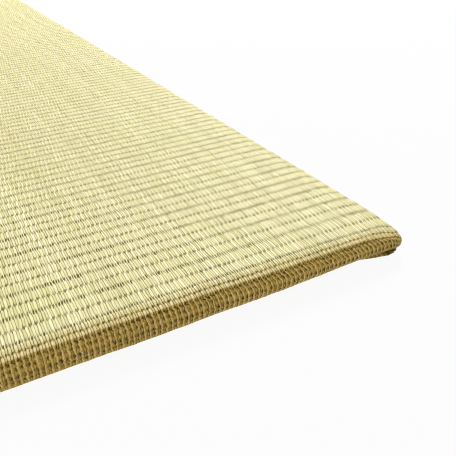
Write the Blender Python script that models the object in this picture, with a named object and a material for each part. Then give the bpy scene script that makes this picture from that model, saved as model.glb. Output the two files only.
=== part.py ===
"""Tatami mat: a thin, square, borderless floor mat.

One woven rush cover lies over a flat board, is folded over its edges, tucked at
the corners and turned under.  The mat is one flat solid: the flat top, a soft
rounded edge all round, a tuck below each end of the two edges where the rushes
fold over, a turned-under margin that it rests on, and the slightly raised
underside inside that margin.

Metres, +Z up.  The origin is the centre of the rectangle the mat rests on.
+X runs along the woven ribs, +Y along the rushes.
"""
import math

import bmesh
import bpy

MM = 0.001

# Driving sizes, in millimetres
WIDTH = 820.0            # across the rushes, along the ribs
LENGTH = 820.0           # along the rushes
UNDERSIDE_RISE = 0.8     # thickness of the turned-under margin
MARGIN_WIDTH = 38.0
EDGE_WANDER = 0.25       # how far the folded edge wanders in and out
EDGE_STEPS = 10          # steps along the plain middle of each edge

# The rounded edge from the top down to the floor.
# inset : in from the widest outline
# height: above the floor
# radius: of the corners in plan
# drawn : extra inset where the cover is drawn in under the edge, near a corner
# fold  : extra inset where a corner is folded (minus = the folded layer stands out)
# lift  : extra height there
EDGE_PROFILE = (
    # inset, height, radius, drawn, fold, lift
    (8.40, 12.50, 48.0, 0.0, 0.0, 0.00),
    (6.60, 12.25, 40.0, 0.0, 0.0, 0.00),
    (5.40, 11.95, 34.0, 0.0, 0.0, 0.00),
    (3.60, 11.40, 26.0, 0.0, 0.0, 0.00),
    (2.10, 10.60, 19.0, 0.0, 0.0, 0.00),
    (1.10, 9.75, 14.0, 0.0, 0.0, 0.00),
    (0.45, 8.80, 10.3, 0.0, 0.0, 0.00),
    (0.00, 6.60, 6.8, 0.0, 0.0, 0.00),
    (0.10, 5.20, 5.8, 0.2, 0.0, 0.10),
    (0.45, 4.00, 5.0, 0.8, 0.0, 0.40),
    (0.95, 3.00, 4.5, 1.5, 0.0, 0.70),
    (1.25, 2.45, 4.8, 2.0, 0.3, 0.85),
    (1.40, 2.25, 5.0, 2.1, 2.4, 0.85),
    (1.60, 2.00, 5.1, 2.2, 2.4, 0.75),
    (1.85, 1.70, 5.3, 2.2, -2.45, 0.65),
    (2.20, 1.40, 5.6, 2.2, -3.1, 0.40),
    (3.00, 0.80, 6.0, 2.1, -3.4, 0.10),
    (4.00, 0.30, 6.4, 2.0, -3.4, 0.00),
    (5.40, 0.00, 6.6, 1.9, -3.7, 0.00),
    (7.00, 0.00, 7.0, 1.0, -1.0, 0.00),
)

# How far the cover is drawn in, by distance from the end of the edge
DRAW_STRENGTH = (
    # distance, strength
    (0.0, 0.60),
    (15.0, 0.60),
    (25.0, 1.00),
    (35.0, 0.66),
    (46.0, 0.40),
    (66.0, 0.10),
    (85.0, 0.00),
    (105.0, -0.25),
    (130.0, -0.45),
)

# How strong the corner's fold is, by distance from the end of the edge
FOLD_STRENGTH = (
    # distance, strength
    (0.0, 1.00),
    (7.0, 1.00),
    (10.0, 0.88),
    (13.0, 0.68),
    (15.0, 0.56),
    (17.0, 0.45),
    (18.8, 0.33),
    (20.5, 0.20),
    (22.3, 0.08),
    (25.0, 0.00),
)

# Stations from the corner along both of its edges, and the corner itself at 0
CORNER_STATIONS = (135, 105, 85, 66, 54, 44, 36, 30, 26, 23, 20.5, 18, 15.5, 13, 10.5, 8, 6, 4, 2, 0)


def read_table(table, x):
    """The second column of a table at x, with straight lines between rows."""
    if x <= table[0][0]:
        return table[0][1]
    for (x0, y0), (x1, y1) in zip(table, table[1:]):
        if x <= x1:
            return y0 + (y1 - y0) * (x - x0) / (x1 - x0)
    return table[-1][1]


def wander(x, half):
    """How far the edge runs inwards at x along it; none at the middle and the ends."""
    t = min(abs(x) / half, 1.0)
    return EDGE_WANDER * (0.6 * math.sin(math.pi * 3.0 * t) ** 2 + 0.4 * math.sin(math.pi * 7.0 * t) ** 2)


def corner_point(along, across, radius, distance, past):
    """A point of a -Y edge's right corner, and its outward normal.

    distance: from the sharp corner, along the -Y edge or, past the corner,
    along the +X edge.
    """
    if distance >= radius:
        if past:
            return along, -across + distance, 1.0, 0.0
        return along - distance, -across, 0.0, -1.0
    a = (1.0 - distance / radius) * math.pi / 4
    if past:
        a = math.pi / 2 - a
    nx, ny = math.sin(a), -math.cos(a)
    return along - radius + radius * nx, -across + radius + radius * ny, nx, ny


def outline(inset, radius):
    """Points of a rounded rectangle with their outward normals, counter-clockwise.

    Every outline has the same number of points, so that the rings can be
    joined one to one.
    """
    hx, hy = WIDTH / 2 - inset, LENGTH / 2 - inset
    end = CORNER_STATIONS[0]
    points = []
    for quarter in range(4):
        turn = quarter * math.pi / 2
        along, across = (hx, hy) if quarter % 2 == 0 else (hy, hx)
        local = []
        for i in range(1, EDGE_STEPS):
            local.append(((-along + end) + 2 * (along - end) * i / EDGE_STEPS, -across, 0.0, -1.0))
        for d in CORNER_STATIONS:
            local.append(corner_point(along, across, radius, d, False))
        for d in reversed(CORNER_STATIONS[:-1]):
            local.append(corner_point(along, across, radius, d, True))
        c, s = math.cos(turn), math.sin(turn)
        for x, y, nx, ny in local:
            points.append((x * c - y * s, x * s + y * c, nx * c - ny * s, nx * s + ny * c))
    return points


def ring(inset, height, radius, drawn=0.0, fold=0.0, lift=0.0):
    """One closed ring of the edge, in millimetres."""
    placed = []
    for x, y, nx, ny in outline(inset, radius):
        facing = abs(ny) ** 2                        # 1 on the two edges that the rushes fold over
        distance = WIDTH / 2 - abs(x)
        inwards = drawn * facing * read_table(DRAW_STRENGTH, distance)
        inwards += fold * facing * read_table(FOLD_STRENGTH, distance)
        inwards += wander(x, WIDTH / 2) * facing + wander(y, LENGTH / 2) * abs(nx) ** 2
        rise = lift * facing * read_table(FOLD_STRENGTH, distance)
        placed.append((x - nx * inwards, y - ny * inwards, height + rise))
    return placed


def mat_rings():
    rings = [ring(*row) for row in EDGE_PROFILE]
    inner = EDGE_PROFILE[-1][0] + MARGIN_WIDTH
    rings.append(ring(inner, 0.0, EDGE_PROFILE[-1][2]))
    rings.append(ring(inner + 0.4, UNDERSIDE_RISE, EDGE_PROFILE[-1][2]))
    return rings


def loft(rings):
    """A closed mesh through the rings, with the first and the last ring filled."""
    bm = bmesh.new()
    rows = [[bm.verts.new((x * MM, y * MM, z * MM)) for x, y, z in r] for r in rings]
    count = len(rows[0])
    for upper, lower in zip(rows, rows[1:]):
        for i in range(count):
            j = (i + 1) % count
            bm.faces.new((upper[i], lower[i], lower[j], upper[j]))
    bm.faces.new(rows[0])
    bm.faces.new(list(reversed(rows[-1])))
    bmesh.ops.recalc_face_normals(bm, faces=bm.faces)
    if bm.calc_volume(signed=True) < 0:
        bmesh.ops.reverse_faces(bm, faces=bm.faces)
    bmesh.ops.triangulate(bm, faces=[f for f in bm.faces if len(f.verts) > 4])
    return bm


def rush_material():
    mat = bpy.data.materials.new("rush")
    mat.use_nodes = True
    shader = mat.node_tree.nodes["Principled BSDF"]
    shader.inputs["Base Color"].default_value = (0.72, 0.66, 0.40, 1.0)
    shader.inputs["Roughness"].default_value = 0.6
    shader.inputs["Metallic"].default_value = 0.0
    return mat


def main():
    for old in list(bpy.data.objects):
        bpy.data.objects.remove(old, do_unlink=True)
    bm = loft(mat_rings())
    mesh = bpy.data.meshes.new("rush_mat")
    bm.to_mesh(mesh)
    bm.free()
    mesh.materials.append(rush_material())
    mesh.shade_smooth()
    mesh.set_sharp_from_angle(angle=math.radians(35))
    mat = bpy.data.objects.new("rush_mat", mesh)
    bpy.context.scene.collection.objects.link(mat)


main()
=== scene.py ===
import math

import bpy
import numpy as np
from mathutils import Matrix


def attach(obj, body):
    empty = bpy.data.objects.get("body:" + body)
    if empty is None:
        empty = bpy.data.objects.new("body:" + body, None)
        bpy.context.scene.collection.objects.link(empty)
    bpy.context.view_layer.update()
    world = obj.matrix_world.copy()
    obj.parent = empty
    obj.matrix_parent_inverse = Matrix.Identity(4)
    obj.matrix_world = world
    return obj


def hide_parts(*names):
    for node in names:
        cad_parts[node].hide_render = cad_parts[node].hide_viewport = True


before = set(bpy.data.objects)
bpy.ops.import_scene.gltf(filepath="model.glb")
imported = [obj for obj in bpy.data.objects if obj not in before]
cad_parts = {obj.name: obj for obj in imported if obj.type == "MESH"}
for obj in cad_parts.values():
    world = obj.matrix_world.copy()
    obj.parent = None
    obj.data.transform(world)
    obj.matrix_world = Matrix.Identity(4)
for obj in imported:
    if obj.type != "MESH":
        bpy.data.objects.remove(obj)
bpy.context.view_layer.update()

MM = 0.001

# ---------------------------------------------------------------- sizes, in millimetres
HALF = 410.0                 # half of the mat, to its widest outline
STRAND = 1.0542              # one rush
STRANDS = 380                # rushes each side of the middle, on the flat field
PITCH = 7.481                # one rib
RIBS = 107
FIELD_X = STRAND * STRANDS   # the field ends here, and the folded edge begins
FIELD_Y = PITCH * RIBS / 2
LEAN = 0.35                  # how far a rush leans to the side over one rib, in rushes
NEARER = 0.70                # how far the ribs' grooves lie towards -Y
FIRST_NEARER = 0.10          # and the first one, beyond that
CREASE = 1.6                 # ribs past the field at which the cover is creased and turns down
ASIDE = 2.6                  # how far the rushes then run towards the corner, in rushes
ASIDE_ENDS = 1.9             # over how many ribs
ASIDE_FROM, ASIDE_FULL = (HALF - 150.0) / STRAND, (HALF - 30.0) / STRAND    # and from where, in rushes from the middle
MARGIN = 45.0                # how far in the turned-under margin reaches

# The folded edge from the top down to the floor, as the frame has it
EDGE = (
    # inset, height, plan radius, drawn in, slit, fold
    (9.77, 12.50, 54.0, 0.0, 0.0, 0.0),
    (8.40, 12.50, 48.0, 0.0, 0.0, 0.0),
    (6.60, 12.28, 40.0, 0.0, 0.0, 0.0),
    (5.40, 12.10, 34.0, 0.0, 0.0, 0.0),
    (2.90, 11.62, 23.5, 0.0, 0.0, 0.0),
    (2.50, 11.25, 21.5, 0.0, 0.0, 0.0),
    (1.80, 10.40, 17.5, 0.0, 0.0, 0.0),
    (1.10, 9.60, 14.0, 0.0, 0.0, 0.0),
    (0.45, 8.70, 10.3, 0.0, 0.0, 0.0),
    (0.00, 6.60, 6.8, 0.0, 0.0, 0.0),
    (0.10, 5.20, 5.8, 0.2, 0.0, 0.0),
    (0.45, 4.00, 5.0, 0.8, 0.0, 0.0),
    (0.95, 3.00, 4.5, 1.5, 0.0, 0.0),
    (1.25, 2.45, 4.8, 2.0, 0.3, 0.0),
    (1.40, 2.25, 5.0, 2.1, 2.4, 0.0),
    (1.60, 2.00, 5.1, 2.2, 2.4, 0.0),
    (1.85, 1.70, 5.3, 2.2, 0.0, -2.45),
    (2.20, 1.40, 5.6, 2.2, 0.0, -3.1),
    (3.00, 0.80, 6.0, 2.1, 0.0, -3.4),
    (4.00, 0.30, 6.4, 2.0, 0.0, -3.4),
    (5.40, 0.00, 6.6, 1.9, 0.0, -3.7),
    (7.00, 0.00, 7.0, 1.0, 0.0, -1.0),
)
DRAW_STRENGTH = (
    # distance from the end of the edge, strength
    (0.0, 0.60), (15.0, 0.60), (25.0, 1.00), (35.0, 0.66), (46.0, 0.40),
    (66.0, 0.10), (85.0, 0.00), (105.0, -0.25), (130.0, -0.45),
)
FOLD_STRENGTH = (
    # distance from the end of the edge, strength
    (0.0, 1.00), (7.0, 1.00), (10.0, 0.88), (13.0, 0.68), (15.0, 0.56), (17.0, 0.45),
    (18.8, 0.33), (20.5, 0.20), (22.3, 0.08), (25.0, 0.00),
)
SLIT_STRENGTH = (
    # distance from the end of the edge, strength
    (0.0, 0.00), (2.6, 0.00), (4.0, 1.00), (9.5, 1.00), (12.5, 0.45), (17.0, 0.15), (22.0, 0.00),
)
# Where the ribs' grooves lie down the folded edge, by distance along the cloth from the flat field
EDGE_GROOVES = (
    # distance, rib coordinate, groove strength
    (0.00, 0.0, 1.05),
    (4.65, -1.0, 1.20),
    (8.20, -2.0, 1.05),
    (10.40, -3.0, 0.90),
    (13.40, -4.0, 1.05),
    (15.30, -5.0, 0.95),
    (19.00, -6.0, 0.80),
    (24.00, -7.0, 0.70),
)


# ---------------------------------------------------------------- helpers
def wave1(x, scale, seed):
    """Smooth noise along a line, about -1 to 1."""
    g = np.asarray(x, float) / scale
    i = np.floor(g).astype(int)
    low = int(i.min())
    t = np.random.default_rng(seed).uniform(-1, 1, int(i.max()) - low + 2)
    f = g - i
    f = f * f * (3 - 2 * f)
    return t[i - low] * (1 - f) + t[i - low + 1] * f


def wave2(x, y, sx, sy, seed):
    """Smooth noise over a plane, about -1 to 1."""
    gx, gy = np.broadcast_arrays(np.asarray(x, float) / sx, np.asarray(y, float) / sy)
    ix, iy = np.floor(gx).astype(int), np.floor(gy).astype(int)
    lx, ly = int(ix.min()), int(iy.min())
    t = np.random.default_rng(seed).uniform(-1, 1, (int(ix.max()) - lx + 2, int(iy.max()) - ly + 2))
    fx, fy = gx - ix, gy - iy
    fx, fy = fx * fx * (3 - 2 * fx), fy * fy * (3 - 2 * fy)
    ix, iy = ix - lx, iy - ly
    return (t[ix, iy] * (1 - fx) + t[ix + 1, iy] * fx) * (1 - fy) + (t[ix, iy + 1] * (1 - fx) + t[ix + 1, iy + 1] * fx) * fy


def dense_profile():
    """The folded edge as a fine line, with the distance along it."""
    pts = np.array(EDGE, float)
    line = [pts[0]]
    for a, b in zip(pts, pts[1:]):
        for t in np.linspace(0, 1, 9)[1:]:
            line.append(a + (b - a) * t)
    line = np.array(line)
    smooth = line.copy()
    for _ in range(6):                       # rounds the corners of the table a little
        smooth[1:-1] = 0.25 * smooth[:-2] + 0.5 * smooth[1:-1] + 0.25 * smooth[2:]
    step = np.hypot(np.diff(smooth[:, 0]), np.diff(smooth[:, 1]))
    return np.concatenate([[0], np.cumsum(step)]), smooth


PROFILE_S, PROFILE = dense_profile()
PROFILE_LENGTH = float(PROFILE_S[-1])
WIDEST = int(np.argmin(PROFILE[:, 0]))
RADIUS_BY_INSET = (PROFILE[: WIDEST + 1, 0][::-1], PROFILE[: WIDEST + 1, 2][::-1])


def at(s, k):
    return np.interp(s, PROFILE_S, PROFILE[:, k])


def inset_of(x, y):
    """How far in from the widest outline a point of the plan lies, by the outlines with softened corners."""
    x, y = np.abs(x), np.abs(y)
    low, high = np.zeros_like(x), np.full_like(x, 12.0)
    for _ in range(26):
        i = (low + high) / 2
        r = np.interp(i, RADIUS_BY_INSET[0], RADIUS_BY_INSET[1])
        qx, qy = x - (HALF - i - r), y - (HALF - i - r)
        d = np.hypot(np.maximum(qx, 0), np.maximum(qy, 0)) + np.minimum(np.maximum(qx, qy), 0) - r
        low, high = np.where(d < 0, i, low), np.where(d < 0, high, i)
    return (low + high) / 2


def top_height(inset):
    """Height of the upper surface over the floor, by inset."""
    up = PROFILE[: WIDEST + 1][::-1]
    return np.interp(inset, up[:, 0], up[:, 1])


def scatter(a, b):
    """A fixed random number from 0 to 1 for each pair of whole numbers."""
    table = np.random.default_rng(907).uniform(0, 1, (2048, 256))
    return table[np.mod(np.round(a).astype(int), 2048), np.mod(np.round(b).astype(int), 256)]


def below_crease(q):
    """How many ribs past the crease a point lies, on the -Y and on the +Y edge."""
    return np.maximum(-CREASE - q, 0), np.maximum(q - RIBS - CREASE, 0)


def run_aside(p, u):
    """How far the rushes run towards the corner down the upper half of the folded edge, in rushes."""
    t = np.clip((np.abs(p) - ASIDE_FROM) / (ASIDE_FULL - ASIDE_FROM), 0, 1)
    return np.sign(p) * ASIDE * t * t * (3 - 2 * t) * np.minimum(u / ASIDE_ENDS, 1)


def relief(p, q, row, rib, strand, low):
    """How far the cloth stands out, in millimetres: the ribs, and on them every second rush."""
    j = np.floor(q + 1e-6)
    f = np.clip(q - j, 0, 1)
    near = np.minimum(f, 1 - f)
    hump = 1 - np.exp(-((near / 0.12) ** 1.5))
    groove = np.round(q)
    deep = np.where(np.mod(groove, 2) == 0, 0.85, 0.75)
    deep *= 0.35 + 1.3 * scatter(p, groove)
    hang = np.clip(np.sin(np.pi * f), 0, 1) ** 0.6
    front, back = below_crease(q)
    steady = np.where(q < -2, 0, np.where(q > RIBS + 2, 1, f))
    lean = LEAN * (steady - 0.5) * row / PITCH + run_aside(p, front + back)
    a = np.mod(p - lean + np.clip(j, -2, RIBS + 1), 2)
    d = np.minimum(a, 2 - a)                 # 0 on a raised rush, 1 on the one beside it
    edge = 0.5 + 0.2 * hang
    raised = np.sqrt(np.clip(1 - (d / (edge + 0.02)) ** 2, 0, 1))
    sunk = low * np.sqrt(np.clip(1 - ((1 - d) / (1.02 - edge)) ** 2, 0, 1))
    rushes = np.where(d < edge, raised, sunk)
    return -rib * deep * (1 - hump) + strand * (0.25 + 0.75 * hang) * (rushes - 0.55)


def mesh_piece(name, points, faces, weave, tone, shade, material):
    """A piece with its cloth coordinates, in metres."""
    me = bpy.data.meshes.new(name)
    me.vertices.add(len(points))
    me.vertices.foreach_set("co", (points * MM).astype(np.float32).ravel())
    sizes = (faces[:, 2] != faces[:, 3]).astype(int) + 3
    loops = faces[np.arange(4)[None, :] < sizes[:, None]]
    me.loops.add(len(loops))
    me.loops.foreach_set("vertex_index", loops.astype(np.int32))
    me.polygons.add(len(faces))
    me.polygons.foreach_set("loop_start", np.concatenate([[0], np.cumsum(sizes)[:-1]]).astype(np.int32))
    me.update(calc_edges=True)
    me.validate()
    for key, data in (("weave", weave), ("tone", tone)):
        me.attributes.new(key, "FLOAT_VECTOR", "POINT").data.foreach_set("vector", data.astype(np.float32).ravel())
    me.attributes.new("shade", "FLOAT", "POINT").data.foreach_set("value", shade.astype(np.float32))
    me.materials.append(material)
    me.shade_smooth()
    ob = bpy.data.objects.new(name, me)
    bpy.context.scene.collection.objects.link(ob)
    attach(ob, "root")
    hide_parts("rush_mat")
    return ob


# ---------------------------------------------------------------- the rush material
class Nodes:
    """Short calls for a material's node tree."""

    def __init__(self, name):
        self.mat = bpy.data.materials.new(name)
        self.mat.use_nodes = True
        self.nt = self.mat.node_tree
        self.shader = self.nt.nodes["Principled BSDF"]

    def put(self, kind, inputs=(), **props):
        n = self.nt.nodes.new(kind)
        for k, v in props.items():
            setattr(n, k, v)
        for k, v in (inputs.items() if isinstance(inputs, dict) else enumerate(inputs)):
            if v is None:
                continue
            if isinstance(v, bpy.types.NodeSocket):
                self.nt.links.new(v, n.inputs[k])
            else:
                n.inputs[k].default_value = v
        return n

    def m(self, op, *args, clamp=False):
        return self.put("ShaderNodeMath", args, operation=op, use_clamp=clamp).outputs[0]

    def span(self, value, a, b, to_a=0.0, to_b=1.0, smooth=True):
        n = self.put("ShaderNodeMapRange", (value, a, b, to_a, to_b), clamp=True)
        n.interpolation_type = "SMOOTHSTEP" if smooth else "LINEAR"
        return n.outputs[0]

    def attribute(self, name):
        return self.put("ShaderNodeAttribute", attribute_name=name, attribute_type="GEOMETRY")

    def xyz(self, vector):
        return self.put("ShaderNodeSeparateXYZ", (vector,)).outputs

    def vec(self, x, y, z=0.0):
        return self.put("ShaderNodeCombineXYZ", (x, y, z)).outputs[0]

    def noise(self, vector, scale=1.0, detail=2.0, roughness=0.5):
        n = self.put("ShaderNodeTexNoise", noise_dimensions="3D")
        self.nt.links.new(vector, n.inputs["Vector"])
        n.inputs["Scale"].default_value = scale
        n.inputs["Detail"].default_value = detail
        n.inputs["Roughness"].default_value = roughness
        return n.outputs[0]

    def white(self, w, seed):
        return self.put("ShaderNodeTexWhiteNoise", {"W": self.m("ADD", w, seed)}, noise_dimensions="1D").outputs[0]

    def white2(self, x, y, seed):
        return self.put("ShaderNodeTexWhiteNoise", {"Vector": self.vec(x, y, seed)}, noise_dimensions="3D").outputs["Value"]

    def mix(self, fac, a, b, blend="MIX"):
        n = self.put("ShaderNodeMix", data_type="RGBA", blend_type=blend)
        for k, v in ((0, fac), (6, a), (7, b)):
            if isinstance(v, bpy.types.NodeSocket):
                self.nt.links.new(v, n.inputs[k])
            else:
                n.inputs[k].default_value = v
        return n.outputs[2]


def srgb(r, g, b):
    """A screen colour, 0 to 255, as the shader's linear colour."""
    def one(c):
        c /= 255.0
        return c / 12.92 if c <= 0.04045 else ((c + 0.055) / 1.055) ** 2.4
    return (one(r), one(g), one(b), 1.0)


def rush_material():
    n = Nodes("rush_weave")
    weave = n.xyz(n.attribute("weave").outputs["Vector"])
    tone = n.xyz(n.attribute("tone").outputs["Vector"])
    # painted shade: the slit at the corners, the tucked lower layer and the lower part of the folded edge
    painted_shade = n.attribute("shade").outputs["Fac"]
    p, q, row = weave[0], weave[1], weave[2]
    strength, dots, warm = tone[0], tone[1], tone[2]

    # rush and rib
    j = n.m("FLOOR", q)
    f = n.m("SUBTRACT", q, j)
    far = n.m("ABSOLUTE", p)
    turned = n.m("MINIMUM", n.m("MAXIMUM", j, -2.0), RIBS + 1.0)       # past the crease a raised rush stays raised
    front = n.m("MAXIMUM", n.m("SUBTRACT", -CREASE, q), 0.0)
    back = n.m("MAXIMUM", n.m("SUBTRACT", q, RIBS + CREASE), 0.0)
    side_front, side_back = n.m("LESS_THAN", q, -2.0), n.m("GREATER_THAN", q, RIBS + 2.0)
    side = n.m("ADD", side_front, side_back)
    on_top = n.m("SUBTRACT", 1.0, side)
    hang = n.m("POWER", n.m("MAXIMUM", n.m("SINE", n.m("MULTIPLY", f, math.pi)), 0.0), 0.6)
    wobble = n.m("MULTIPLY", n.m("SUBTRACT", n.noise(n.vec(n.m("MULTIPLY", p, 0.55), n.m("MULTIPLY", q, 0.8)), 1.0, 1.0), 0.5), 0.8)
    waver = n.m("MULTIPLY", n.m("SUBTRACT", n.noise(n.vec(n.m("MULTIPLY", p, 0.50), n.m("MULTIPLY", q, 1.9)), 1.0, 1.0), 0.5), 1.2)
    pw = n.m("ADD", n.m("ADD", p, wobble), n.m("MULTIPLY", waver, side))
    steady = n.m("ADD", n.m("MULTIPLY", f, on_top), side_back)
    lean = n.m("MULTIPLY", n.m("MULTIPLY", n.m("SUBTRACT", steady, 0.5), row), LEAN / PITCH)
    pull = n.m("MULTIPLY", n.span(far, ASIDE_FROM, ASIDE_FULL, 0.0, ASIDE / ASIDE_ENDS), n.m("SIGN", p))
    lean = n.m("ADD", lean, n.m("MULTIPLY", n.m("MINIMUM", n.m("ADD", front, back), ASIDE_ENDS), pull))
    turn = n.m("ADD", n.m("SUBTRACT", pw, lean), turned)
    right = n.m("SUBTRACT", n.m("FLOORED_MODULO", n.m("ADD", turn, 1.0), 2.0), 1.0)   # 0 at a raised rush
    d = n.m("ABSOLUTE", right)
    edge = n.m("ADD", n.m("ADD", 0.5, n.m("MULTIPLY", warm, 0.06)), n.m("MULTIPLY", hang, n.m("SUBTRACT", 0.06, n.m("MULTIPLY", warm, 0.04))))
    is_raised = n.m("LESS_THAN", d, edge)
    is_low = n.m("SUBTRACT", 1.0, is_raised)
    left = n.m("SUBTRACT", n.m("FLOORED_MODULO", turn, 2.0), 1.0)                     # 0 at the rush beside it
    t = n.m("ADD", n.m("MULTIPLY", n.m("DIVIDE", right, edge), is_raised),
            n.m("MULTIPLY", n.m("DIVIDE", left, n.m("SUBTRACT", 1.0, edge)), is_low))
    arch = n.m("SQRT", n.m("MAXIMUM", n.m("SUBTRACT", 1.0, n.m("MULTIPLY", t, t)), 0.0))
    rush = n.m("MULTIPLY", arch, n.m("SUBTRACT", 1.0, n.m("MULTIPLY", is_low, n.m("ADD", 0.15, n.m("MULTIPLY", warm, 0.35)))))

    # which rush it is, and which gap between two
    id_up = n.m("SUBTRACT", n.m("MULTIPLY", n.m("ROUND", n.m("MULTIPLY", turn, 0.5)), 2.0), turned)
    id_lo = n.m("SUBTRACT", n.m("ADD", n.m("MULTIPLY", n.m("ROUND", n.m("MULTIPLY", n.m("ADD", turn, -1.0), 0.5)), 2.0), 1.0), turned)
    who = n.m("ADD", n.m("MULTIPLY", id_up, is_raised), n.m("MULTIPLY", id_lo, is_low))
    gap_id = n.m("FLOOR", pw)
    light = n.white(who, 11.3)
    hue = n.white(who, 57.7)
    piece = n.white2(who, j, 3.7)
    along = n.noise(n.vec(n.m("MULTIPLY", who, 3.17), n.m("MULTIPLY", q, 0.33)), 1.0, 2.0)
    fibre = n.noise(n.vec(n.m("MULTIPLY", pw, 5.5), n.m("MULTIPLY", q, 0.9)), 1.0, 2.0)
    region = n.noise(n.vec(n.m("MULTIPLY", p, 0.11), n.m("MULTIPLY", q, 0.37)), 1.0, 2.0)

    # colour of the rushes
    base = n.mix(hue, srgb(217, 210, 154), srgb(227, 220, 168))
    base = n.mix(n.span(light, 0.66, 1.0, 0.0, 0.55), base, srgb(242, 236, 193))
    base = n.mix(n.span(light, 0.24, 0.0, 0.0, 0.55), base, srgb(194, 185, 124))
    base = n.mix(n.span(piece, 0.70, 1.0, 0.0, 0.45), base, srgb(198, 189, 130))
    base = n.mix(n.span(along, 0.35, 0.75, 0.0, 0.25), base, srgb(208, 199, 140))
    patch = n.noise(n.vec(n.m("MULTIPLY", p, 0.012), n.m("MULTIPLY", q, 0.11)), 1.0, 2.0)
    base = n.mix(n.span(patch, 0.40, 0.66, 0.0, 0.4), base, srgb(226, 213, 166))
    green = n.noise(n.vec(n.m("ADD", n.m("MULTIPLY", p, 0.02), 31.0), n.m("MULTIPLY", q, 0.19)), 1.0, 2.0)
    base = n.mix(n.span(green, 0.52, 0.72, 0.0, 0.3), base, srgb(208, 208, 138))
    # fibre streaks along each rush, and painted shade darkening each rush towards its flanks where it rounds away
    fibre_and_round_shade = n.m("ADD", 0.90, n.m("MULTIPLY", fibre, 0.20))
    flat = n.m("SUBTRACT", 1.0, arch)
    fibre_and_round_shade = n.m("MULTIPLY", fibre_and_round_shade, n.m("SUBTRACT", 1.0, n.m("MULTIPLY", n.m("MULTIPLY", flat, flat), n.m("ADD", 0.28, n.m("MULTIPLY", warm, 0.10)))))

    # the pale ridge of each rush: partly the rush's own paler ridge, partly a painted highlight set on its lit side
    shine = n.span(n.white2(who, turned, 8.9), 0.10, 1.0, 0.25, 1.0)
    shine = n.m("MULTIPLY", shine, n.m("SUBTRACT", 1.0, n.m("MULTIPLY", is_low, n.m("ADD", 0.45, n.m("MULTIPLY", warm, 0.20)))))
    shine = n.m("MAXIMUM", shine, n.m("MULTIPLY", n.m("MULTIPLY", is_raised, warm), 0.75))
    glint = n.noise(n.vec(n.m("MULTIPLY", who, 2.71), n.m("MULTIPLY", q, 1.9)), 1.0, 2.0)
    shine = n.m("MULTIPLY", shine, n.span(glint, 0.36, 0.58, 0.30, 1.0))
    wide = n.m("SUBTRACT", 0.36, n.m("MULTIPLY", warm, 0.11))
    pale_ridge_and_highlight = n.m("SUBTRACT", 1.0, n.m("DIVIDE", n.m("ABSOLUTE", n.m("ADD", t, 0.15)), wide), clamp=True)
    pale_ridge_and_highlight = n.m("MULTIPLY", pale_ridge_and_highlight, shine)

    # dark joints: between the rushes, along the grooves, and the small holes in them
    near = n.m("MULTIPLY", n.m("MINIMUM", f, n.m("SUBTRACT", 1.0, f)), row)      # mm from a groove
    gap = n.m("ABSOLUTE", n.m("SUBTRACT", d, edge))
    tight = n.span(region, 0.36, 0.64, 0.30, 1.0)
    one = n.span(n.white2(gap_id, j, 5.1), 0.15, 0.95)
    split = n.m("MULTIPLY", n.span(n.white(gap_id, 91.7), 0.93, 0.97), n.m("GREATER_THAN", left, 0.0))
    to_groove = n.span(near, n.m("SUBTRACT", 3.0, n.m("MULTIPLY", side, 1.6)), n.m("SUBTRACT", 0.6, n.m("MULTIPLY", side, 0.4)))
    dark = n.m("ADD", n.m("MULTIPLY", one, n.m("ADD", n.m("MULTIPLY", tight, 0.60), n.m("MULTIPLY", to_groove, 0.85))), 0.30)
    dark = n.m("ADD", dark, n.m("MULTIPLY", split, 0.6))
    dark = n.m("ADD", dark, n.m("MULTIPLY", n.span(row, 6.0, 4.5, 0.0, 0.35), on_top), clamp=True)
    dark = n.m("MULTIPLY", dark, n.m("SUBTRACT", 1.0, n.m("MULTIPLY", side, 0.12)))
    width = n.m("ADD", 0.21, n.m("ADD", n.m("MULTIPLY", split, 0.10), n.m("MULTIPLY", warm, 0.03)))
    seam = n.m("MULTIPLY", n.m("SUBTRACT", 1.0, n.m("DIVIDE", gap, width), clamp=True), dark)
    line = n.m("MULTIPLY", n.span(near, 1.3, 0.0), n.m("MULTIPLY", strength, 0.04))
    g = n.m("ROUND", q)
    beside = n.m("SUBTRACT", f, n.m("ROUND", f))
    slant = n.m("MULTIPLY", beside, 1.4)
    beside = n.m("MULTIPLY", beside, row)                                             # mm, with its sign
    short = n.span(row, 6.0, 4.5)
    b2 = n.m("ADD", n.m("ADD", pw, g), n.m("SUBTRACT", 0.45, slant))
    at2 = n.m("ABSOLUTE", n.m("SUBTRACT", n.m("FLOORED_MODULO", b2, 2.0), 1.0))       # 0 at a hole, every second rush
    at2 = n.m("ADD", n.m("MULTIPLY", at2, on_top), n.m("MULTIPLY", n.m("ABSOLUTE", n.m("SUBTRACT", left, 0.2)), side))
    id2 = n.m("FLOOR", n.m("MULTIPLY", b2, 0.5))
    near2 = n.m("ADD", beside, n.m("MULTIPLY", n.m("SUBTRACT", n.white2(id2, g, 31.3), 0.5), 0.6))
    hole2 = n.m("ADD", n.m("POWER", n.m("DIVIDE", at2, n.m("SUBTRACT", 0.66, n.m("MULTIPLY", side, 0.18))), 2.0), n.m("POWER", n.m("ABSOLUTE", n.m("DIVIDE", near2, n.m("SUBTRACT", 1.25, n.m("MULTIPLY", short, 0.40)))), 2.0))
    hole2 = n.m("MULTIPLY", n.span(hole2, 1.4, 0.1), n.span(n.white2(id2, g, 13.3), 0.0, 0.9, 0.55, 1.0))
    b1 = n.m("SUBTRACT", pw, slant)
    at1 = n.m("ABSOLUTE", n.m("SUBTRACT", n.m("FLOORED_MODULO", b1, 1.0), 0.5))
    id1 = n.m("FLOOR", b1)
    near1 = n.m("ADD", beside, n.m("MULTIPLY", n.m("SUBTRACT", n.white2(id1, g, 29.1), 0.5), 0.8))
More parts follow.
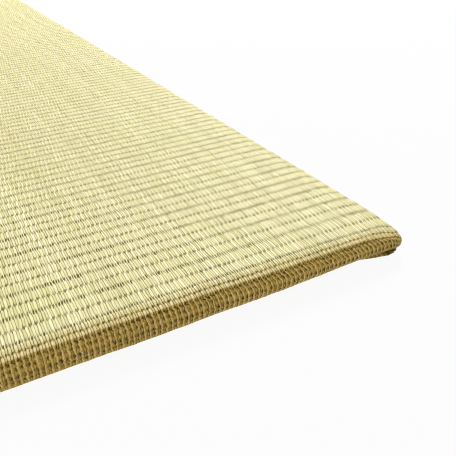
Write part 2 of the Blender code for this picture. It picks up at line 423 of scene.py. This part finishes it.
    hole1 = n.m("ADD", n.m("POWER", n.m("DIVIDE", at1, 0.29), 2.0), n.m("POWER", n.m("ABSOLUTE", n.m("DIVIDE", near1, n.m("SUBTRACT", 1.75, n.m("MULTIPLY", short, 0.90)))), 2.0))
    uneven = n.span(n.noise(n.vec(n.m("MULTIPLY", id1, 0.31), n.m("MULTIPLY", g, 7.3)), 1.0, 1.0), 0.34, 0.60, 0.60, 1.0)
    hole1 = n.m("MULTIPLY", n.span(hole1, 1.4, 0.1), n.m("MULTIPLY", uneven, n.span(n.white2(id1, g, 17.9), 0.0, 0.7, 0.42, 1.0)))
    hole = n.m("ADD", n.m("MULTIPLY", hole2, dots), n.m("MULTIPLY", hole1, n.m("SUBTRACT", 1.0, dots)))
    hole = n.m("MULTIPLY", hole, strength, clamp=True)

    colour = n.mix(1.0, base, n.put("ShaderNodeCombineColor", (fibre_and_round_shade, fibre_and_round_shade, fibre_and_round_shade)).outputs[0], "MULTIPLY")
    # painted shade: the sunk rush lying between two raised ones made darker
    colour = n.mix(n.m("MULTIPLY", is_low, n.m("ADD", 0.18, n.m("MULTIPLY", warm, 0.10))), colour, srgb(160, 147, 86))
    # painted highlight: the ridge of each rush lightened towards near white
    colour = n.mix(n.m("MULTIPLY", pale_ridge_and_highlight, n.m("ADD", 0.85, n.m("MULTIPLY", warm, 0.15))), colour, srgb(255, 253, 220))
    colour = n.mix(seam, colour, srgb(92, 84, 10))
    colour = n.mix(line, colour, srgb(130, 122, 30))
    colour = n.mix(n.m("MULTIPLY", hole, 0.95), colour, srgb(66, 60, 0))
    blotch = n.noise(n.vec(n.m("MULTIPLY", pw, 0.9), n.m("MULTIPLY", q, 2.3)), 1.0, 2.0)
    colour = n.mix(n.m("MULTIPLY", n.span(blotch, 0.50, 0.68), n.span(warm, 0.1, 0.9, 0.10, 0.45)), colour, srgb(104, 88, 14))
    # the folded edge made browner and darker: partly the rushes' own brown there, partly painted shade for the side
    # turned away from the key light
    brown_and_shade_tint = n.mix(warm, (1, 1, 1, 1), (0.90, 0.645, 0.24, 1))
    colour = n.mix(1.0, colour, brown_and_shade_tint, "MULTIPLY")
    # painted highlight: the ridges on the folded edge lightened again after the tint
    colour = n.mix(n.m("MULTIPLY", pale_ridge_and_highlight, n.span(warm, 0.3, 0.9)), colour, (1.0, 0.84, 0.47, 1))
    # painted shade mixed in towards near black
    colour = n.mix(n.m("MULTIPLY", painted_shade, 0.96), colour, srgb(22, 10, 2))
    n.nt.links.new(colour, n.shader.inputs["Base Color"])

    rough = n.m("ADD", 0.62, n.m("MULTIPLY", n.m("SUBTRACT", 1.0, rush), 0.20))
    n.nt.links.new(rough, n.shader.inputs["Roughness"])
    n.shader.inputs["Specular IOR Level"].default_value = 0.12

    height = n.m("ADD", n.m("MULTIPLY", rush, 0.17), n.m("MULTIPLY", fibre, 0.05))
    height = n.m("SUBTRACT", height, n.m("MULTIPLY", hole, 0.22))
    height = n.m("SUBTRACT", height, n.m("MULTIPLY", n.m("MULTIPLY", n.span(near, 0.9, 0.0), strength), 0.04))
    bump = n.put("ShaderNodeBump", {"Height": height})
    bump.inputs["Strength"].default_value = 0.9
    bump.inputs["Distance"].default_value = 0.001
    n.nt.links.new(bump.outputs[0], n.shader.inputs["Normal"])
    return n.mat


RUSH = rush_material()


# ---------------------------------------------------------------- the flat field, in four strips
def field():
    """Points of the flat field, one column to a rush and four rows to a rib, with their cloth coordinates."""
    i = np.arange(-STRANDS, STRANDS + 1)
    q = np.append((np.arange(RIBS)[:, None] + np.array([0.0, 0.11, 0.5, 0.89])).ravel(), RIBS)
    q = q - NEARER / PITCH                   # the rows follow the grooves, and the first and the last stay on the border
    q[0], q[1], q[-1] = 0.0, 0.06, RIBS
    P, Q = np.meshgrid(i.astype(float), q)
    W = Q + (NEARER + FIRST_NEARER * np.clip(1 - Q, 0, 1)) / PITCH      # the rib coordinate, with the grooves moved
    free = np.clip((STRANDS - np.abs(P)) / 8.0, 0, 1)
    y_plain = Q * PITCH - FIELD_Y
    x = P * STRAND + free * (0.10 * wave1(P, 1.0, 21) + 0.22 * wave2(P, y_plain, 7.0, 45.0, 22) + 0.5 * wave2(P, y_plain, 60.0, 160.0, 23))
    g = np.arange(RIBS + 1)
    G, X = np.meshgrid(g.astype(float), i * STRAND, indexing="ij")
    wander = 0.20 * wave2(G * 50.0, X, 17.0, 16.0, 31) + 0.10 * wave2(G * 50.0, X, 13.0, 4.5, 32) + 0.25 * wave2(G * 7.0, X, 20.0, 120.0, 33)
    wander *= np.clip((FIELD_X - np.abs(X)) / 6.0, 0, 1)
    j = np.minimum(np.floor(q).astype(int), RIBS - 1)
    f = (q - j)[:, None]
    y = y_plain + wander[j] * (1 - f) + wander[j + 1] * f
    z = top_height(inset_of(x, y)) + relief(P, W, PITCH, 0.12, 0.12, 0.6)
    z += 0.10 * wave2(x, y, 90.0, 90.0, 41) + 0.05 * wave2(x, y, 16.0, 22.0, 42) + 0.04 * wave2(P, Q, 1.0, 3.0, 43) * free
    bold = (np.mod(np.round(W), 2) == 0).astype(float)
    weave = np.stack([P, W, np.full_like(P, PITCH)], -1)
    tone = np.stack([0.78 + 0.27 * bold, 1.0 - bold, np.zeros_like(P)], -1)
    return np.stack([x, y, z], -1), weave, tone


def grid_faces(rows, cols):
    a = (np.arange(rows - 1)[:, None] * cols + np.arange(cols - 1)).ravel()
    return np.stack([a, a + 1, a + cols + 1, a + cols], -1)


FIELD, FIELD_WEAVE, FIELD_TONE = field()
STRIP_ENDS = (0, 27, 54, 81, RIBS)
for k, (first, last) in enumerate(zip(STRIP_ENDS, STRIP_ENDS[1:])):
    part = slice(first * 4, last * 4 + 1)
    pts = FIELD[part]
    ob = mesh_piece(
        "rush_field_%d" % (k + 1), pts.reshape(-1, 3), grid_faces(*pts.shape[:2]),
        FIELD_WEAVE[part].reshape(-1, 3), FIELD_TONE[part].reshape(-1, 3), np.zeros(pts.shape[0] * pts.shape[1]), RUSH,
    )


# ---------------------------------------------------------------- the folded edge, all round
END_S = np.array([0, 0.8, 1.45, 3.1, 4.65, 5.5, 6.4, 6.9, 7.2, 7.6, 8.2, 9.2, 10.4, 11.8, 13.4, 14.3, 15.3, 16.4, 17.1, 17.4, 17.75, 18.4, 20.0, 22.1])
END_S = np.append(END_S, PROFILE_LENGTH)
FLANK_S = np.linspace(0.37, PROFILE_LENGTH, len(END_S))
RINGS = len(END_S)
FAN = 20


def strength_of(table, x):
    t = np.array(table)
    return np.interp(HALF - np.abs(x), t[:, 0], t[:, 1])


def drawn_in(s, x):
    """How far the lower edge is drawn in or stands out near a corner."""
    return strength_of(DRAW_STRENGTH, x) * at(s, 3) + strength_of(SLIT_STRENGTH, x) * at(s, 4) + strength_of(FOLD_STRENGTH, x) * at(s, 5)


def edge_band():
    """Rings of the folded edge from the field to the floor, counter-clockwise from the -X end of the -Y edge."""
    cols = []                                # each: x, y, z (rings), a_x, a_y, facing

    def end_columns(sign):
        x = np.arange(-2 * STRANDS, 2 * STRANDS + 1) * STRAND / 2
        row = FIELD[0] if sign < 0 else FIELD[-1]
        x0 = np.interp(np.arange(len(x)) / 2.0, np.arange(len(row)), row[:, 0])
        y0 = np.interp(np.arange(len(x)) / 2.0, np.arange(len(row)), row[:, 1])
        z0 = np.interp(np.arange(len(x)) / 2.0, np.arange(len(row)), row[:, 2])
        s = END_S[:, None]
        X = x0 + 0 * s
        ease = np.clip(s / 6.0, 0, 1)
        wav = 0.22 * wave1(x, 24.0, 51 + sign) + 0.10 * wave1(x, 5.5, 53 + sign)
        inset = at(s, 0) + drawn_in(s, X)
        Y = sign * (HALF - inset - wav * ease)
        Y = np.where(s == 0, y0, Y)
        eff = inset_of(X, sign * (HALF - at(s, 0)))
        Z = np.where(s < PROFILE_S[WIDEST], top_height(eff), at(s, 1))
        Z = np.where(s == 0, z0, Z)
        P = np.arange(-2 * STRANDS, 2 * STRANDS + 1)[None, :] / 2 + 0 * s
        D = s + 0 * X                        # distance over the end
        out = dict(x=X, y=Y, z=Z, p=P, d=D, q=None, nx=0 * X, ny=sign + 0 * X, end=1 + 0 * X)
        return out

    def flank_columns(sign):
        col = FIELD[:, -1] if sign > 0 else FIELD[:, 0]
        q = FIELD_WEAVE[:, 0, 1]
        s = FLANK_S[:, None]
        y0 = col[:, 1]
        Y = y0 + 0 * s
        ease = np.clip(s / 6.0, 0, 1)
        wav = 0.18 * wave1(y0, 30.0, 61 + sign)
        X = sign * (HALF - at(s, 0) - wav * ease)
        X = np.where(np.arange(RINGS)[:, None] == 0, col[:, 0], X)
        eff = inset_of(sign * (HALF - at(s, 0)), Y)
        Z = np.where(s < PROFILE_S[WIDEST], top_height(eff), at(s, 1))
        Z = np.where(np.arange(RINGS)[:, None] == 0, col[:, 2], Z)
        P = sign * (STRANDS + (s - FLANK_S[0]) / STRAND) + 0 * Y
        return dict(x=X, y=Y, z=Z, p=P, d=0 * X, q=q + 0 * s, nx=sign + 0 * X, ny=0 * X, end=0 * X)

    def fan_columns(sx, sy):
        f = np.linspace(0, 1, FAN + 2)[1:-1][None, :]
        sf, ss = END_S[:, None], FLANK_S[:, None]
        yk, xk = HALF - at(sf, 0), HALF - at(ss, 0)
        i = (at(sf, 0) + at(ss, 0)) / 2
        widest = PROFILE[WIDEST, 2]
        r = np.where(sf < PROFILE_S[WIDEST], widest * np.clip(1 - i / 9.6, 0, 1), at(sf, 2))
        l1, l2 = np.maximum(xk - r - FIELD_X, 0), np.maximum(yk - r - FIELD_Y, 0)
        total = l1 + np.pi * r / 2 + l2
        t = f * total
        ang = np.clip((t - l1) / np.maximum(r, 1e-6), 0, np.pi / 2)
        cx, cy = xk - r, yk - r
        X = np.where(t < l1, FIELD_X + t, np.where(t > l1 + np.pi * r / 2, xk, cx + r * np.sin(ang)))
        Y = np.where(t > l1 + np.pi * r / 2, yk - r - (t - l1 - np.pi * r / 2), np.where(t < l1, yk, cy + r * np.cos(ang)))
        X = np.where(np.arange(RINGS)[:, None] == 0, FIELD_X, X)
        Y = np.where(np.arange(RINGS)[:, None] == 0, FIELD_Y, Y)
        w = np.sin(f * np.pi / 2) ** 2
        s = sf * (1 - w) + ss * w
        nx, ny = np.sin(ang), np.cos(ang)
        facing = ny ** 2
        pulled = drawn_in(s, X) * facing
        eff = inset_of(X, Y)
        Z = np.where(sf < PROFILE_S[WIDEST], top_height(eff), at(s, 1))
        corner = FIELD[0 if sy < 0 else -1, -1 if sx > 0 else 0]
        Z = np.where(np.arange(RINGS)[:, None] == 0, corner[2], Z)
        X, Y = X - nx * pulled, Y - ny * pulled
        ph = f * np.pi / 2
        P = sx * (STRANDS + s * np.sin(ph) / STRAND)
        D = s * np.cos(ph)
        return dict(x=sx * X, y=sy * Y, z=Z, p=P, d=D, q=None, nx=sx * nx, ny=sy * ny, end=1 - w + 0 * X, corner=True)

    def flipped(c):
        return {k: (v[:, ::-1] if isinstance(v, np.ndarray) else v) for k, v in c.items()}

    front, back = end_columns(-1), end_columns(1)
    right, left = flank_columns(1), flank_columns(-1)
    front["side"], back["side"] = -1, 1
    parts = [
        (front, -1), (fan_columns(1, -1), -1), (right, 0), (flipped(fan_columns(1, 1)), 1),
        (flipped(back), 1), (fan_columns(-1, 1), 1), (flipped(left), 0), (flipped(fan_columns(-1, -1)), -1),
    ]
    g = np.array(EDGE_GROOVES)
    first, last = (NEARER + FIRST_NEARER) / PITCH, NEARER / PITCH
    fields = {k: [] for k in ("x", "y", "z", "p", "q", "row", "gs", "dots", "warm", "shade", "nx", "ny", "end", "s")}
    for c, side in parts:
        if c["q"] is None:
            start = NEARER + FIRST_NEARER if side < 0 else 0.0            # where the field's last groove lies
            qe = np.interp(c["d"], np.maximum(g[:, 0], start), g[:, 1])
            over = first * np.clip(1 - c["d"] / start, 0, 1) if side < 0 else -last * np.clip(1 - c["d"] / g[1, 0], 0, 1)
            q = qe + over if side < 0 else RIBS - qe - over
            seg = np.clip(np.searchsorted(g[:, 0], c["d"].ravel() + 1e-6) - 1, 0, len(g) - 2).reshape(c["d"].shape)
            row = np.diff(g[:, 0])[seg]
            row = np.where(c["d"] < start, PITCH, row)
            gs = np.interp(c["d"], g[:, 0], g[:, 2])
            dots = np.interp(c["d"], [0, 3.0, 6.9, 7.2], [0.0, 0.65, 0.65, 1.0])
        else:
            q = c["q"]
            bold = (np.mod(np.round(q), 2) == 0).astype(float)
            row, gs, dots = np.full_like(q, PITCH), 0.78 + 0.27 * bold, 1 - bold
        s = END_S[:, None] * c["end"] + FLANK_S[:, None] * (1 - c["end"])
        end = np.sqrt(np.clip(c["end"], 0, 1))
        # browner and darker down the folded edge, with a step at the crease: partly the rushes' own brown, partly
        # painted shade of the turned-down side
        warm = np.interp(s, [0, 2.5, 3.8, 5.2, 6.0, 6.9, 7.2, 23.2], [0.0, 0.12, 0.46, 0.46, 0.32, 0.34, 0.95, 1.0]) * end
        warm = warm + np.interp(s, [0, 8, 12, 18], [0.0, 0.05, 0.20, 0.50]) * (1 - end)
        facing = np.abs(c["ny"]) ** 2
        # painted shade: the slit between the folded layers at the corners made near black
        slit_shade = strength_of(SLIT_STRENGTH, c["x"]) * np.interp(s, [16.5, 17.0, 17.3, 18.2, 18.8], [0.0, 0.9, 1.0, 1.0, 0.0])
        # painted shade: the tucked lower layer at the corners darkened
        tuck_shade = np.minimum(strength_of(FOLD_STRENGTH, c["x"]) * 2.2, 1) * np.interp(s, [18.4, 19.2, 21.0, 23.7], [0.0, 0.12, 0.35, 0.9])
        # painted shade: the lower half of the folded edge darker towards the floor, less on the lower layer at the
        # corners
        low = np.interp(s, [9.5, 11.5, 13.0, 14.5, 17.0, 22.0], [0.0, 0.10, 0.34, 0.26, 0.30, 0.42]) * (1 - 0.6 * facing * strength_of(FOLD_STRENGTH, c["x"]) * (s > 18.3))
        shade = np.clip(np.maximum(np.maximum(slit_shade, tuck_shade) * facing, low), 0, 1)
        for k, v in (("q", q), ("row", row), ("gs", gs), ("dots", dots), ("warm", warm), ("shade", shade), ("s", s)):
            fields[k].append(np.broadcast_to(v, c["x"].shape))
        for k in ("x", "y", "z", "p", "nx", "ny", "end"):
            fields[k].append(np.broadcast_to(c[k], c["x"].shape))
    a = {k: np.concatenate(v, 1) for k, v in fields.items()}
    pts = np.stack([a["x"], a["y"], a["z"]], -1)
    down = np.gradient(pts, axis=0)
    round_ = np.roll(pts, -1, 1) - np.roll(pts, 1, 1)
    normal = np.cross(round_, down)
    size = np.linalg.norm(normal, axis=-1, keepdims=True)
    normal = np.where(size > 1e-9, normal / np.maximum(size, 1e-9), np.array([0, 0, 1.0]))
    outward = normal[..., 0] * a["nx"] + normal[..., 1] * a["ny"] + 0.3 * normal[..., 2]
    normal *= np.where(outward < 0, -1, 1)[..., None]
    fade = np.clip(a["s"] / 1.0, 0, 1) * np.interp(a["z"], [0.0, 1.2], [0.0, 1.0])
    lift = relief(a["p"], a["q"], a["row"], 0.12 + 0.20 * (1 - a["end"]), 0.13, 0.5)
    lift += 0.06 * wave2(a["p"], a["s"], 2.0, 4.0, 71)
    pts = pts + normal * (lift * fade)[..., None]
    pts[0] = np.stack([a["x"][0], a["y"][0], a["z"][0]], -1)
    pts[..., 2] = np.maximum(pts[..., 2], 0.0)
    weave = np.stack([a["p"], a["q"], a["row"]], -1)
    tone = np.stack([a["gs"], a["dots"], a["warm"]], -1)
    return pts, weave, tone, a["shade"]


def ring_faces(rings, count):
    k = np.arange(rings - 1)[:, None] * count
    i = np.arange(count)
    j = (i + 1) % count
    return np.stack([(k + i), (k + i + count), (k + j + count), (k + j)], -1).reshape(-1, 4)


def merged(points, faces):
    """Faces with points in the same place made one, and the faces that had no area left out."""
    key = np.round(points * 1e4).astype(np.int64)
    _, first, back = np.unique(key, axis=0, return_index=True, return_inverse=True)
    same = first[back.ravel()]
    faces = same[faces]
    out = []
    for a, b, c, d in faces:
        ring = [a]
        for v in (b, c, d):
            if v != ring[-1]:
                ring.append(v)
        if ring[-1] == ring[0]:
            ring.pop()
        if len(ring) >= 3:
            out.append(ring if len(ring) == 4 else ring + [ring[-1]])
    faces = np.array(out)
    used, new = np.unique(faces, return_inverse=True)
    return used, new.reshape(faces.shape)


E_PTS, E_WEAVE, E_TONE, E_SHADE = edge_band()
flat_pts = E_PTS.reshape(-1, 3)
used, edge_faces = merged(flat_pts, ring_faces(*E_PTS.shape[:2]))
edge = mesh_piece(
    "rush_folded_edge", flat_pts[used], edge_faces, E_WEAVE.reshape(-1, 3)[used],
    E_TONE.reshape(-1, 3)[used], E_SHADE.ravel()[used], RUSH,
)


# ---------------------------------------------------------------- the underside
def underside():
    """The turned-under margin and the plain face inside it."""
    rings = []
    for inset, z in ((6.7, 0.06), (8.5, 0.0), (26.0, 0.0), (MARGIN - 0.2, 0.0), (MARGIN + 0.3, 0.75), (MARGIN + 3.0, 0.8)):
        r = 7.0 if inset < 20 else 3.0
        c = HALF - inset - r
        ring = []
        for quarter in range(4):
            turn = quarter * math.pi / 2
            for k in range(60):
                ring.append((-c + 2 * c * k / 60, -(c + r), turn))
            for k in range(10):
                t = k / 10 * math.pi / 2
                ring.append((c + r * math.sin(t), -(c + r * math.cos(t)), turn))
        rings.append([(x * math.cos(t) - y * math.sin(t), x * math.sin(t) + y * math.cos(t), z) for x, y, t in ring])
    pts = np.array(rings)
    count = pts.shape[1]
    faces = ring_faces(len(rings), count)
    inner = np.arange(count) + (len(rings) - 1) * count
    flat = pts.reshape(-1, 3)
    # the plain face is a grid whose border runs on from the last ring
    n = 41
    half = HALF - MARGIN - 3.4
    gx, gy = np.meshgrid(np.linspace(-half, half, n), np.linspace(-half, half, n))
    panel = np.stack([gx, gy, np.full_like(gx, 0.82)], -1).reshape(-1, 3)
    panel_faces = grid_faces(n, n)[:, ::-1] + len(flat)
    # a narrow skirt joins the two, each ring point to the nearest border point
    border = np.concatenate([np.arange(n), np.arange(2, n + 1) * n - 1, (n - 1) * n + np.arange(n - 1)[::-1], np.arange(1, n - 1)[::-1] * n]) + len(flat)
    allp = np.concatenate([flat, panel])
    near = [border[np.argmin(((allp[border, :2] - allp[v, :2]) ** 2).sum(1))] for v in inner]
    skirt = []
    for k in range(count):
        a, b = inner[k], inner[(k + 1) % count]
        c, d = near[(k + 1) % count], near[k]
        if c == d:
            skirt.append((a, d, b, b))
        else:
            skirt.append((a, d, c, b))
    faces = np.concatenate([faces, panel_faces, np.array(skirt)])
    return allp, faces


u_pts, u_faces = underside()
u_weave = np.stack([u_pts[:, 0] / STRAND, (u_pts[:, 1] + FIELD_Y) / PITCH, np.full(len(u_pts), PITCH)], -1)
u_tone = np.stack([np.full(len(u_pts), 0.7), np.full(len(u_pts), 0.6), np.full(len(u_pts), 0.25)], -1)
under = mesh_piece("rush_underside", u_pts, u_faces, u_weave, u_tone, np.zeros(len(u_pts)), RUSH)


# ---------------------------------------------------------------- floor, light and camera
def stage_material():
    mat = bpy.data.materials.new("pale_floor")
    mat.use_nodes = True
    s = mat.node_tree.nodes["Principled BSDF"]
    s.inputs["Base Color"].default_value = (0.04, 0.04, 0.04, 1)
    s.inputs["Roughness"].default_value = 0.9
    s.inputs["Specular IOR Level"].default_value = 0.0
    s.inputs["Emission Color"].default_value = (1.0, 1.0, 1.0, 1)
    s.inputs["Emission Strength"].default_value = 0.93
    return mat


me = bpy.data.meshes.new("floor")
me.from_pydata([(-60, -60, -0.0004), (60, -60, -0.0004), (60, 60, -0.0004), (-60, 60, -0.0004)], [], [(0, 1, 2, 3)])
me.materials.append(stage_material())
floor = bpy.data.objects.new("floor", me)
bpy.context.scene.collection.objects.link(floor)

world = bpy.data.worlds.new("studio")
bpy.context.scene.world = world
world.use_nodes = True
world.node_tree.nodes["Background"].inputs[0].default_value = (1.0, 1.0, 1.0, 1)
world.node_tree.nodes["Background"].inputs[1].default_value = 0.55


def area_light(name, place, aim, size, energy, colour=(1, 1, 1)):
    data = bpy.data.lights.new(name, "AREA")
    data.size, data.energy, data.color = size, energy, colour
    ob = bpy.data.objects.new(name, data)
    bpy.context.scene.collection.objects.link(ob)
    d = np.array(aim, float) - np.array(place, float)
    z = -d / np.linalg.norm(d)
    x = np.cross([0, 0, 1.0], z)
    x = x / np.linalg.norm(x) if np.linalg.norm(x) > 1e-6 else np.array([1.0, 0, 0])
    y = np.cross(z, x)
    ob.matrix_world = Matrix([[x[0], y[0], z[0], place[0]], [x[1], y[1], z[1], place[1]], [x[2], y[2], z[2], place[2]], [0, 0, 0, 1]])
    return ob


area_light("key", (1.9, 1.5, 1.6), (0.3, -0.2, 0), 0.75, 118.0)

PITCH_DOWN, ROLL, TURN = 0.509523852, -0.0332163631, 0.484833436
fwd = np.array([math.cos(PITCH_DOWN) * math.sin(TURN), math.cos(PITCH_DOWN) * math.cos(TURN), -math.sin(PITCH_DOWN)])
level = np.array([math.cos(TURN), -math.sin(TURN), 0.0])
up0 = np.cross(level, fwd)
right = math.cos(ROLL) * level + math.sin(ROLL) * up0
up = -math.sin(ROLL) * level + math.cos(ROLL) * up0
place = (0.2292, -0.5822, 0.14775)
cam = bpy.data.objects.new("camera", bpy.data.cameras.new("camera"))
cam.data.lens = 49.107
cam.data.sensor_width = 36.0
cam.data.sensor_fit = "HORIZONTAL"
cam.data.clip_start = 0.01
cam.data.clip_end = 100
cam.matrix_world = Matrix([[right[k], up[k], -fwd[k], place[k]] for k in range(3)] + [[0, 0, 0, 1]])
bpy.context.scene.collection.objects.link(cam)
bpy.context.scene.camera = cam

bpy.context.scene.cycles.filter_width = 1.1
view = bpy.context.scene.view_settings
view.view_transform = "Standard"
view.look = "None"
view.exposure = 0.0
view.gamma = 1.0
